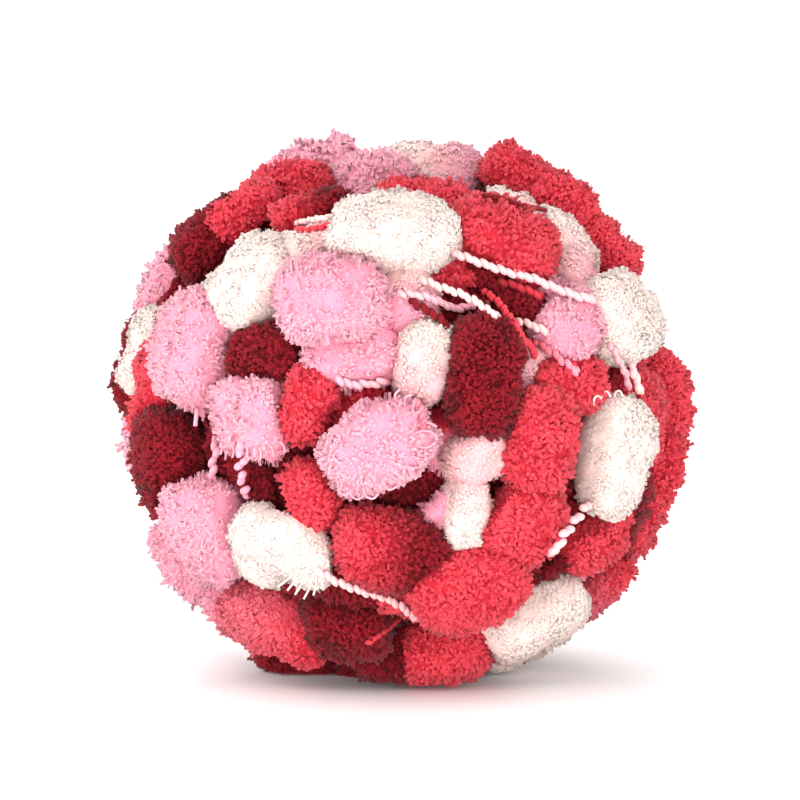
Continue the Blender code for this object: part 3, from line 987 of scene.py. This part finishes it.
def puff_strands(places, number, tree, pile):
    """The strands of one puff that show: each stands out of the puff and leans over to its cut end."""
    place = places[number]
    stand = STANDS[place.dye]
    chance = np.random.default_rng((PILE_SEED, number))
    coarse = pile.back_share if on_back(place) else 1.0
    pitch = pile.pitch * stand.pitch * coarse * place.coarse
    share, out, skin, near, light = shown_skin(places, number, tree, pitch, HIDDEN_SHARE, chance)
    share, out, skin, near, light = pick(light > 0.0, share, out, skin, near, light)
    count = len(skin)
    if count == 0:
        return None
    crevice = np.clip((CREVICE_SHARE - near) / (CREVICE_SHARE - HIDDEN_SHARE), 0.0, 1.0) ** CREVICE_FALL
    # How shut in each strand is, for painted shade where little light comes in
    shut_shade = np.clip((SIGHT_FREE - light) / SIGHT_FREE, 0.0, 1.0)
    lean = strand_leans(place, share, out, stand.rough, chance)
    ways = noise_at(skin, CURL_PATCH) * CURL_TOGETHER + chance.normal(0.0, CURL_ALONE, (count, 3))
    ways = across_rows(ways, lean)
    curl = pile.curl * coarse * stand.curl * chance.uniform(*CURL_SHARES, (count, 1))
    clump_wide = pile.clump_wide * coarse
    to_clump, clump_high = clumps(place, skin, clump_wide, chance)
    edge = np.linalg.norm(to_clump, axis=1) / clump_wide * CRUMB_EDGE
    parted, crack = cracks_at(skin, pile)
    edge = np.clip(edge, 0.0, CRUMB_EDGE_MOST) ** 2 * parted
    long = chance.random((count, 1)) < LONG_SHARE
    high = chance.normal(0.0, HIGH_STRAY, (count, 1)) + long * chance.uniform(*LONG_HIGH, (count, 1))
    high *= stand.rough
    high += clump_high[:, None] * pile.clump_high * stand.clump
    skin = skin + chance.normal(0.0, PLACE_STRAY * stand.rough, (count, 3))
    root = skin - lean * pile.root_depth - ways * curl * 0.5
    tip = skin + lean * high + ways * curl * 0.5 + to_clump * CRUMB_CLING * stand.clump
    low = (edge * EDGE_LOW + crack * CRACK_LOW) * stand.clump + crevice * CREVICE_LOW
    tip -= lean * low[:, None]
    thick = pitch * stand.full * chance.uniform(*THICK_SHARES, count)
    dye = in_chart(dye_along(place, share[:, 0]) + chance.normal(0.0, DYE_STRAY, count), DYE_RIM)
    # Painted shade: darker in cracks, at crumbs' edges, in crevices and where few lines of sight are open
    dark = crack + edge * EDGE_PAINTED_SHADE + crevice * CREVICE_PAINTED_SHADE + shut_shade * SHUT_PAINTED_SHADE
    depth = chance.normal(DEPTH_PLACE, DEPTH_STRAY, count) - dark * stand.shade
    return Strands(root, tip, thick, out, dye, depth,
                   np.full(count, stand.shade), np.full(count, stand.soft))


def puff_fibres(places, number, tree, pile):
    """The fine fibres that stand out of one puff."""
    place = places[number]
    stand = STANDS[place.dye]
    chance = np.random.default_rng((PILE_SEED + 1, number))
    pitch = pile.pitch * FIBRE_COARSE
    edge = HIDDEN_SHARE + FIBRE_CLEAR
    share, out, skin, _, light = shown_skin(places, number, tree, pitch, edge, chance)
    kept = (light > FIBRE_OPEN) & (cracks_at(skin, pile)[1] * stand.shade < FIBRE_CRACK)
    share, out, skin = pick(kept, share, out, skin)
    count = len(skin)
    if count == 0:
        return None
    lean = unit_rows(out + chance.normal(0.0, FIBRE_LEAN, (count, 3)))
    reach = chance.uniform(*FIBRE_REACH, (count, 1))
    skin = skin + chance.normal(0.0, FIBRE_STRAY, (count, 3))
    dye = in_chart(dye_along(place, share[:, 0]) + chance.normal(0.0, FIBRE_DYE_STRAY, count), DYE_RIM)
    thick = FIBRE_THICK * chance.uniform(*FIBRE_THICK_SHARES, count)
    depth = chance.normal(0.0, DEPTH_STRAY, count)
    return Strands(skin - lean * FIBRE_ROOT, skin + lean * reach, thick, out, dye, depth,
                   np.full(count, stand.shade), np.full(count, stand.soft))


def strand_axes(strands):
    """The strands' directions, and for each corner the way from their middle lines out to it."""
    chance = np.random.default_rng(PILE_SEED)
    along = unit_rows(strands.tip - strands.root)
    side = across_rows(unit_rows(chance.normal(size=along.shape)), along)
    other = np.cross(along, side)
    turns = [2.0 * math.pi * corner / STRAND_SIDES for corner in range(STRAND_SIDES)]
    return along, [side * math.cos(turn) + other * math.sin(turn) for turn in turns]


def softened(strands, faced):
    """Directions that take their shading in part from the whole puff."""
    soft = strands.soft[:, None]
    return unit_rows(strands.out * soft + faced * (1.0 - soft))


def many_mesh(name, corners, faces):
    """One mesh of many bodies that are alike, from each corner's points, normals and chart places."""
    points, normals, charts = (np.stack(column, 1) for column in zip(*corners, strict=True))
    count, per_body, _ = points.shape
    faces = (np.arange(count)[:, None, None] * per_body + np.array(faces)[None]).reshape(-1, 3)
    points = press_on_floor(points.reshape(-1, 3))
    return chart_mesh(name, points, faces, in_chart(charts.reshape(-1, 2)), normals.reshape(-1, 3))


def fibre_mesh(name, fibres):
    """One mesh of many fibres, each a three-sided spike."""
    _, spokes = strand_axes(fibres)
    # Painted shade: a fibre's root lies lower on the chart than its tip
    root_depth, tip_depth = FIBRE_ENDS
    corners = []
    for corner, spoke in enumerate(spokes):
        point = fibres.root + spoke * (fibres.thick / 2.0)[:, None]
        chart = np.column_stack((fibres.dye + (corner - 1) * CHART_WIDE, root_depth + fibres.depth))
        corners.append((point, softened(fibres, spoke), chart))
    corners.append((fibres.tip, fibres.out, np.column_stack((fibres.dye, tip_depth + fibres.depth))))
    faces = [(corner, (corner + 1) % STRAND_SIDES, STRAND_SIDES) for corner in range(STRAND_SIDES)]
    return many_mesh(name, corners, faces)


def strand_mesh(name, strands):
    """One mesh of many strands, each a three-sided tube with a blunt cut end."""
    along, spokes = strand_axes(strands)
    tip_depth = RINGS[-1][1]
    corners = []
    for ring, (middle, (share, depth)) in enumerate(zip((strands.root, strands.tip), RINGS, strict=True)):
        # Painted shade: the root ring lies lower on the chart, the more so for a larger shade
        deep = tip_depth - (tip_depth - depth) * strands.shade + strands.depth
        for corner, spoke in enumerate(spokes):
            point = middle + spoke * (strands.thick * share / 2.0)[:, None]
            normal = softened(strands, unit_rows(spoke + along * ring))
            chart = np.column_stack((strands.dye + (corner - 1) * CHART_WIDE, deep))
            corners.append((point, normal, chart))
    faces = []
    for corner in range(STRAND_SIDES):
        after = (corner + 1) % STRAND_SIDES
        faces.append((corner, after, after + STRAND_SIDES))
        faces.append((corner, after + STRAND_SIDES, corner + STRAND_SIDES))
    faces.append((STRAND_SIDES, STRAND_SIDES + 1, STRAND_SIDES + 2))
    return many_mesh(name, corners, faces)


def chart_mesh(name, points, faces, chart, normals=None):
    """A mesh of triangles whose corners carry their places on the dye chart."""
    mesh = bpy.data.meshes.new(name)
    mesh.vertices.add(len(points))
    mesh.vertices.foreach_set("co", points.astype(np.float32).ravel())
    mesh.loops.add(faces.size)
    mesh.loops.foreach_set("vertex_index", faces.astype(np.int32).ravel())
    mesh.polygons.add(len(faces))
    mesh.polygons.foreach_set("loop_start", np.arange(0, faces.size, 3, dtype=np.int32))
    mesh.update(calc_edges=True)
    layer = mesh.uv_layers.new(name=CHART)
    layer.uv.foreach_set("vector", chart[faces.ravel()].astype(np.float32).ravel())
    mesh.shade_smooth()
    mesh.validate()
    if normals is not None:
        mesh.normals_split_custom_set_from_vertices(normals.tolist())
    return mesh


def new_piece(name, mesh, material):
    """A piece of the ball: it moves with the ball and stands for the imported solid."""
    piece = bpy.data.objects.new(name, mesh)
    bpy.context.scene.collection.objects.link(piece)
    mesh.materials.append(material)
    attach(piece, BODY)
    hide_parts(NODE)


def add_node(tree, kind, links=(), **settings):
    """Adds a node. A setting is a socket's or a property's, and a link joins a socket to a source."""
    node = tree.nodes.new(kind)
    for name, value in settings.items():
        socket = node.inputs.get(name.replace("_", " ").title()) if not hasattr(node, name) else None
        if socket is None:
            setattr(node, name, value)
        else:
            socket.default_value = value
    for name, source in links:
        tree.links.new(source, node.inputs[name])
    return node


def bare_material(name):
    """A material whose tree has no nodes yet, and that tree."""
    material = bpy.data.materials.new(name)
    material.use_nodes = True
    material.node_tree.nodes.clear()
    return material, material.node_tree


def grain_node(tree, wide, **settings):
    """The height of a noise whose grains are about so wide, fixed to the object."""
    where = add_node(tree, "ShaderNodeTexCoord")
    grain = add_node(tree, "ShaderNodeTexNoise", [("Vector", where.outputs["Object"])],
                     scale=1.0 / wide, **settings)
    return grain.outputs["Fac"]


def dye_ramp(tree, source, colours):
    """A ramp through the yarn's dyes."""
    ramp = add_node(tree, "ShaderNodeValToRGB", [("Fac", source)])
    stops = ramp.color_ramp.elements
    while len(stops) < len(colours):
        stops.new(len(stops) / len(colours))
    for stop, (name, colour) in zip(stops, colours.items(), strict=True):
        stop.position = DYE_PLACE[name]
        stop.color = (*colour, 1.0)
    return ramp.outputs["Color"]


def dyed_material(finish):
    """Space-dyed polyester fibre, in one of its finishes.

    Its colour is read from the dye chart: across it lie the dyes, and up it the way from a strand's
    root to its tip. The root colours are painted shade: the pile is painted darkest and fullest deep down.
    """
    dyes = bpy.context.scene.yarn_dyes
    material, tree = bare_material(finish.name)
    chart = add_node(tree, "ShaderNodeUVMap", uv_map=CHART)
    place = add_node(tree, "ShaderNodeSeparateXYZ", [("Vector", chart.outputs["UV"])])
    tips = dye_ramp(tree, place.outputs["X"], {key: getattr(dyes, key) for key in DYE_PLACE})
    # Painted shade: the root colours stand for the shade deep in the pile
    roots = dye_ramp(tree, place.outputs["X"], {key: getattr(dyes, key + "_root") for key in DYE_PLACE})
    colour = add_node(tree, "ShaderNodeMix", [("Factor", place.outputs["Y"])], data_type="RGBA")
    tree.links.new(roots, colour.inputs[MIX_COLOUR_A])
    tree.links.new(tips, colour.inputs[MIX_COLOUR_B])
    fibres = grain_node(tree, finish.fibre_wide, detail=GRAIN_DETAIL, roughness=GRAIN_ROUGHNESS)
    bump = add_node(tree, "ShaderNodeBump", [("Height", fibres)],
                    strength=GRAIN_STRENGTH, distance=finish.fibre_deep)
    shader = add_node(tree, "ShaderNodeBsdfPrincipled",
                      [("Base Color", colour.outputs[MIX_COLOUR_OUT]), ("Normal", bump.outputs["Normal"])])
    shader.inputs["Roughness"].default_value = finish.roughness
    shader.inputs["IOR"].default_value = POLYESTER_IOR
    shader.inputs["Specular IOR Level"].default_value = SPECULAR
    shader.inputs["Sheen Weight"].default_value = finish.sheen
    shader.inputs["Sheen Roughness"].default_value = SHEEN_ROUGHNESS
    add_node(tree, "ShaderNodeOutputMaterial", [("Surface", shader.outputs["BSDF"])])
    return material


class YARN_OT_add_stage(bpy.types.Operator):
    """Set up the pale floor, the soft studio light and the camera"""

    bl_idname = "yarn.add_stage"
    bl_label = "Add stage"
    bl_options = {"REGISTER", "UNDO"}

    def execute(self, context):
        settings = context.scene.yarn_stage
        add_floor(settings.floor_wide)
        add_surroundings(settings.sky)
        for box in SOFT_BOXES:
            add_soft_light(box, getattr(settings, box.power) * box.share)
        add_camera()
        context.scene.view_settings.view_transform = "Standard"
        return {"FINISHED"}


def add_floor(wide):
    """Matt white card: it catches a faint shadow and throws light back up."""
    mesh = bmesh.new()
    bmesh.ops.create_grid(mesh, x_segments=FLOOR_PARTS, y_segments=FLOOR_PARTS, size=wide / 2.0)
    data = bpy.data.meshes.new("floor")
    mesh.to_mesh(data)
    mesh.free()
    floor = bpy.data.objects.new("floor", data)
    bpy.context.scene.collection.objects.link(floor)
    material, tree = bare_material("Matt white card")
    grain = grain_node(tree, CARD_GRAIN, detail=CARD_GRAIN_DETAIL)
    tone = add_node(tree, "ShaderNodeValToRGB", [("Fac", grain)])
    tone.color_ramp.elements[0].color = (*linear(CARD_DARK), 1.0)
    tone.color_ramp.elements[1].color = (*linear(CARD_PALE), 1.0)
    shader = add_node(tree, "ShaderNodeBsdfPrincipled", [("Base Color", tone.outputs["Color"])])
    shader.inputs["Roughness"].default_value = CARD_ROUGHNESS
    add_node(tree, "ShaderNodeOutputMaterial", [("Surface", shader.outputs["BSDF"])])
    data.materials.append(material)


def add_surroundings(brightness):
    world = bpy.data.worlds.new("white_surroundings")
    world.use_nodes = True
    back = world.node_tree.nodes["Background"]
    back.inputs["Color"].default_value = (1.0, 1.0, 1.0, 1.0)
    back.inputs["Strength"].default_value = brightness
    bpy.context.scene.world = world


def add_soft_light(box, power):
    """A soft box that faces the ball."""
    lamp = bpy.data.lights.new(box.name, "AREA")
    lamp.shape = "RECTANGLE"
    lamp.size = box.wide
    lamp.size_y = box.high
    lamp.energy = power
    light = bpy.data.objects.new(box.name, lamp)
    light.location = ball_middle() + Vector(box.away)
    light.visible_camera = False
    light.rotation_euler = (ball_middle() - light.location).to_track_quat("-Z", "Y").to_euler()
    bpy.context.scene.collection.objects.link(light)


def add_camera():
    _, _, eye = eye_frame()
    lens = bpy.data.cameras.new("camera")
    lens.sensor_width = SENSOR
    lens.lens = SENSOR * EYE_AWAY / VIEW_WIDE
    lens.shift_x = (PICTURE / 2.0 - MIDDLE_IN_PICTURE[0]) / PICTURE
    lens.shift_y = (MIDDLE_IN_PICTURE[1] - PICTURE / 2.0) / PICTURE
    lens.clip_start = NEAREST_SEEN
    camera = bpy.data.objects.new("camera", lens)
    camera.location = eye
    camera.rotation_euler = (ball_middle() - eye).to_track_quat("-Z", "Y").to_euler()
    bpy.context.scene.collection.objects.link(camera)
    bpy.context.scene.camera = camera


class YARN_OT_add_puff_beds(bpy.types.Operator):
    """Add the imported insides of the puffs, where the strands are rooted"""

    bl_idname = "yarn.add_puff_beds"
    bl_label = "Add puff beds"
    bl_options = {"REGISTER", "UNDO"}

    def execute(self, context):
        places = all_places()
        depths = []
        for place in places:
            deeper = BACK_BED if on_back(place) else 0.0
            depths.append((STANDS[place.dye].bed + deeper) * MM)
        points, faces, owner = puff_shells(places, depths)
        dye = np.zeros(len(points))
        for number, place in enumerate(places):
            mine = owner == number
            dye[mine] = dye_along(place, to_puff(place, points[mine])[:, 0] / half_of(place)[0])
        points = press_on_floor(points)
        spread = np.random.default_rng(PILE_SEED).uniform(-1.0, 1.0, (len(points), 2))
        # Painted shade: the beds sit low on the chart, in the root colours, the lower for the darker dyes
        deep = np.array([1.0 - STANDS[place.dye].shade for place in places])[owner]
        chart = np.column_stack((dye, deep * BED_DEPTH_SHARE + BED_DEPTH)) + spread * BED_STRAY
        mesh = chart_mesh("puff_beds", points, faces, in_chart(chart))
        new_piece("puff_beds", mesh, dyed_material(PACKED_FIBRE))
        return {"FINISHED"}


class YARN_OT_add_pile(bpy.types.Operator):
    """Add the cut strands of all the puffs, one piece for each dye on the front and on the back"""

    bl_idname = "yarn.add_pile"
    bl_label = "Add pile"
    bl_options = {"REGISTER", "UNDO"}

    def execute(self, context):
        places = all_places()
        pile = context.scene.yarn_pile
        tree = shell_tree(places, COVER_DEPTH)
        groups = {}
        fibres = []
        for number, place in enumerate(places):
            side = "back" if on_back(place) else "front"
            strands = puff_strands(places, number, tree, pile)
            if strands is not None:
                groups.setdefault(f"{place.dye}_pile_{side}", []).append(strands)
            if side == "front":
                fibres.append(puff_fibres(places, number, tree, pile))
        material = dyed_material(CUT_PILE)
        for name, parts in sorted(groups.items()):
            new_piece(name, strand_mesh(name, joined(parts)), material)
        fibres = joined([part for part in fibres if part is not None])
        new_piece("stray_fibres", fibre_mesh("stray_fibres", fibres), material)
        return {"FINISHED"}


class YARN_OT_add_threads(bpy.types.Operator):
    """Add the stretches of twisted thread that show between the puffs"""

    bl_idname = "yarn.add_threads"
    bl_label = "Add threads"
    bl_options = {"REGISTER", "UNDO"}

    def execute(self, context):
        places = all_places()
        sizes = context.scene.yarn_threads
        tree = shell_tree(places, 0.0)
        parts = []
        for thread in THREADS:
            line = taut_line(tree, thread, sizes.bead_thick * thread.size * THREAD_CLEAR)
            parts.append(beaded_thread(line, sizes, thread))
        mesh = chart_mesh("threads", *join_arrays(parts))
        new_piece("threads", mesh, dyed_material(TWISTED_THREAD))
        return {"FINISHED"}


def run_along(points):
    """How far along a line its points lie."""
    return np.concatenate(((0.0,), np.cumsum(np.linalg.norm(np.diff(points, axis=0), axis=1))))


def points_at(wanted, run, points):
    """The points at some distances along a line."""
    return np.column_stack([np.interp(wanted, run, column) for column in points.T])


def smooth_route(route):
    """Evenly spaced places along a smooth curve through a route's places, in metres."""
    knots = np.array(route, float) * MM
    ends = np.vstack((2 * knots[0] - knots[1], knots, 2 * knots[-1] - knots[-2]))
    fine = []
    for number in range(1, len(ends) - 2):
        before, start, end, after = ends[number - 1:number + 3]
        for share in np.linspace(0.0, 1.0, CURVE_PARTS, endpoint=False):
            straight = 2 * start + (end - before) * share
            bent = (2 * before - 5 * start + 4 * end - after) * share ** 2
            twice_bent = (3 * start - before - 3 * end + after) * share ** 3
            fine.append(0.5 * (straight + bent + twice_bent))
    fine.append(knots[-1])
    fine = np.array(fine)
    run = run_along(fine)
    return points_at(np.linspace(0.0, run[-1], max(int(run[-1] / ROUTE_STEP), 4)), run, fine)


def taut(depths):
    """The depths of a thread that is pulled tight over what it crosses: their hull on the near side."""
    hull = []
    for index in range(len(depths)):
        while len(hull) >= 2:
            first, second = hull[-2], hull[-1]
            slope = (depths[second] - depths[first]) / (second - first)
            if depths[index] - depths[first] <= slope * (index - first):
                hull.pop()
            else:
                break
        hull.append(index)
    return np.interp(np.arange(len(depths)), hull, depths[hull])


def along_sight(lines, depths):
    """The points at some depths on sight lines."""
    return np.array([eye + ray * depth for (eye, ray), depth in zip(lines, depths, strict=True)])


def taut_line(tree, thread, clear):
    """A thread's route in its view, laid tight over the puffs, with both ends buried."""
    lines = [sight_line(across, up, thread.turn) for across, up in smooth_route(thread.route)]
    depths = []
    for eye, ray in lines:
        hit = tree.ray_cast(eye, ray)
        depths.append(hit[3] if hit[0] is not None else EYE_AWAY)
    depths = np.array(depths) - clear
    depths[[0, -1]] += THREAD_BURIED + clear
    return along_sight(lines, taut(depths))


def laid_line(tree, route, clear):
    """A route in the view, laid loosely on the puffs: rooted at its start and lifting off at its end."""
    lines = [sight_line(across, up) for across, up in smooth_route(route)]
    depths = []
    for eye, ray in lines:
        hit = tree.ray_cast(eye, ray)
        if hit[0] is None or (depths and abs(hit[3] - depths[-1]) > LAID_STEP):
            depths.append(depths[-1] if depths else EYE_AWAY)
        else:
            depths.append(hit[3])
    share = np.linspace(0.0, 1.0, len(depths))
    depths = np.array(depths) - clear + (1.0 - share) ** 4 * LAID_ROOT * MM - share ** 2 * clear
    return along_sight(lines, depths)


def ways_across(line):
    """Two directions across a line, at each of its points, that turn along it as little as they can."""
    along = unit_rows(np.gradient(line, axis=0))
    side = np.empty_like(along)
    side[0] = Vector(along[0]).orthogonal().normalized()
    for index in range(1, len(along)):
        flat = side[index - 1] - along[index] * side[index - 1].dot(along[index])
        side[index] = flat / np.linalg.norm(flat)
    return side, np.cross(along, side)


def tube(line, thick, dye, depth, sides):
    """A tube along a line with closed ends: points, triangles and chart places."""
    side, other = ways_across(line)
    rows = []
    chart = []
    last = len(line) - 1
    for corner in range(sides):
        turn = 2.0 * math.pi * corner / sides
        spoke = side * math.cos(turn) + other * math.sin(turn)
        rows.append(line + spoke * (thick / 2.0))
        across = np.full(len(line), dye + (corner % 3 - 1) * CHART_WIDE)
        chart.append(np.column_stack((across, depth + (corner % 2) * CHART_HIGH)))
    points = np.stack(rows, 1).reshape(-1, 3)
    chart = np.stack(chart, 1).reshape(-1, 2)
    faces = []
    for ring in range(last):
        for corner in range(sides):
            near = ring * sides + corner
            next_one = ring * sides + (corner + 1) % sides
            faces.append((near, next_one, next_one + sides))
            faces.append((near, next_one + sides, near + sides))
    top = last * sides
    for corner in range(1, sides - 1):
        faces.append((0, corner + 1, corner))
        faces.append((top, top + corner, top + corner + 1))
    return points, np.array(faces), in_chart(chart)


def beaded_thread(line, sizes, thread):
    """A tight two-ply twist along a line: each ply shows as slanting beads where it crosses the other."""
    ball, faces = unit_ball(BEAD_ROUNDS)
    pitch = sizes.bead_pitch * thread.size
    half_thick = sizes.bead_thick * thread.size / 2.0
    run = run_along(line)
    count = max(int(run[-1] / pitch), 2)
    places = (np.arange(count) + 0.5) / count
    centres = points_at(places * run[-1], run, line)
    along = unit_rows(np.gradient(centres, axis=0))
    outs = np.array([outward(Vector(centre)) for centre in centres])
    side = unit_rows(np.cross(along, outs))
    out = np.cross(side, along)
    long = pitch * (BEAD_LONG - SLACK_SHORT * thread.slack)
    half = np.array((long, half_thick * BEAD_WIDE, half_thick))
    points = []
    chart = []
    for number in range(count):
        swing = half_thick * (BEAD_SWING + SLACK_SWING * thread.slack) * (-1) ** number
        long_axis = along[number] * math.cos(BEAD_SLANT) + side[number] * math.sin(BEAD_SLANT)
        axes = np.array((long_axis, np.cross(out[number], long_axis), out[number]))
        points.append(centres[number] + side[number] * swing + (ball * half) @ axes)
        dye = ALL_PLACES[thread.dye] + (ALL_PLACES[thread.tail] - ALL_PLACES[thread.dye]) * places[number]
        # Painted shade in the creases between beads and on their undersides
        under = np.clip(-ball[:, 2], 0.0, 1.0)
        crease_shade = np.abs(ball[:, 0]) ** 2 * BEAD_END_PAINTED_SHADE + under * BEAD_UNDER_PAINTED_SHADE
        chart.append(np.column_stack((dye + ball[:, 1] * CHART_WIDE, BEAD_DEPTH - crease_shade)))
    all_faces = (np.arange(count)[:, None, None] * len(ball) + faces[None]).reshape(-1, 3)
    return np.concatenate(points), all_faces, in_chart(np.concatenate(chart))


def join_arrays(parts):
    """Joins the points, triangles and chart places of several meshes."""
    start = 0
    all_faces = []
    for points, faces, _ in parts:
        all_faces.append(faces + start)
        start += len(points)
    return (np.concatenate([part[0] for part in parts]), np.concatenate(all_faces),
            np.concatenate([part[2] for part in parts]))


class YARN_OT_add_loose_strands(bpy.types.Operator):
    """Add the single strands that have come away from the pile"""

    bl_idname = "yarn.add_loose_strands"
    bl_label = "Add loose strands"
    bl_options = {"REGISTER", "UNDO"}

    def execute(self, context):
        places = all_places()
        tree = shell_tree(places, 0.0)
        parts = []
        for strand in LOOSE:
            thick = strand.thick * MM
            line = laid_line(tree, strand.route, thick * LOOSE_CLEAR)
            depth = np.linspace(*LOOSE_ENDS, len(line))
            parts.append(tube(line, thick, ALL_PLACES[strand.dye], depth, LOOSE_SIDES))
        points, faces, chart = join_arrays(parts)
        mesh = chart_mesh("loose_strands", press_on_floor(points), faces, chart)
        new_piece("loose_strands", mesh, dyed_material(LOOSE_STRAND))
        return {"FINISHED"}


class YARN_PT_ball(bpy.types.Panel):
    """Lists the sizes, the colours and the pieces of the ball"""

    bl_label = "Yarn ball"
    bl_idname = "YARN_PT_ball"
    bl_space_type = "VIEW_3D"
    bl_region_type = "UI"
    bl_category = "Yarn ball"

    def draw(self, context):
        layout = self.layout
        for group_name in GROUPS:
            box = layout.box()
            group = getattr(context.scene, group_name)
            for setting in type(group).__annotations__:
                box.prop(group, setting)
        for operator in OPERATORS:
            layout.operator(operator.bl_idname)


GROUPS = {
    "yarn_dyes": YarnDyes,
    "yarn_pile": PileSizes,
    "yarn_threads": ThreadSizes,
    "yarn_stage": StageSettings,
}
OPERATORS = (YARN_OT_add_stage, YARN_OT_add_puff_beds, YARN_OT_add_pile, YARN_OT_add_threads,
             YARN_OT_add_loose_strands)
CLASSES = (*GROUPS.values(), *OPERATORS, YARN_PT_ball)


def register():
    for cls in CLASSES:
        bpy.utils.register_class(cls)
    for name, group in GROUPS.items():
        setattr(bpy.types.Scene, name, PointerProperty(type=group))


def unregister():
    for name in GROUPS:
        delattr(bpy.types.Scene, name)
    for cls in reversed(CLASSES):
        bpy.utils.unregister_class(cls)


def main():
    register()
    bpy.ops.yarn.add_stage()
    bpy.ops.yarn.add_puff_beds()
    bpy.ops.yarn.add_pile()
    bpy.ops.yarn.add_threads()
    bpy.ops.yarn.add_loose_strands()


if __name__ == "__main__":
    main()
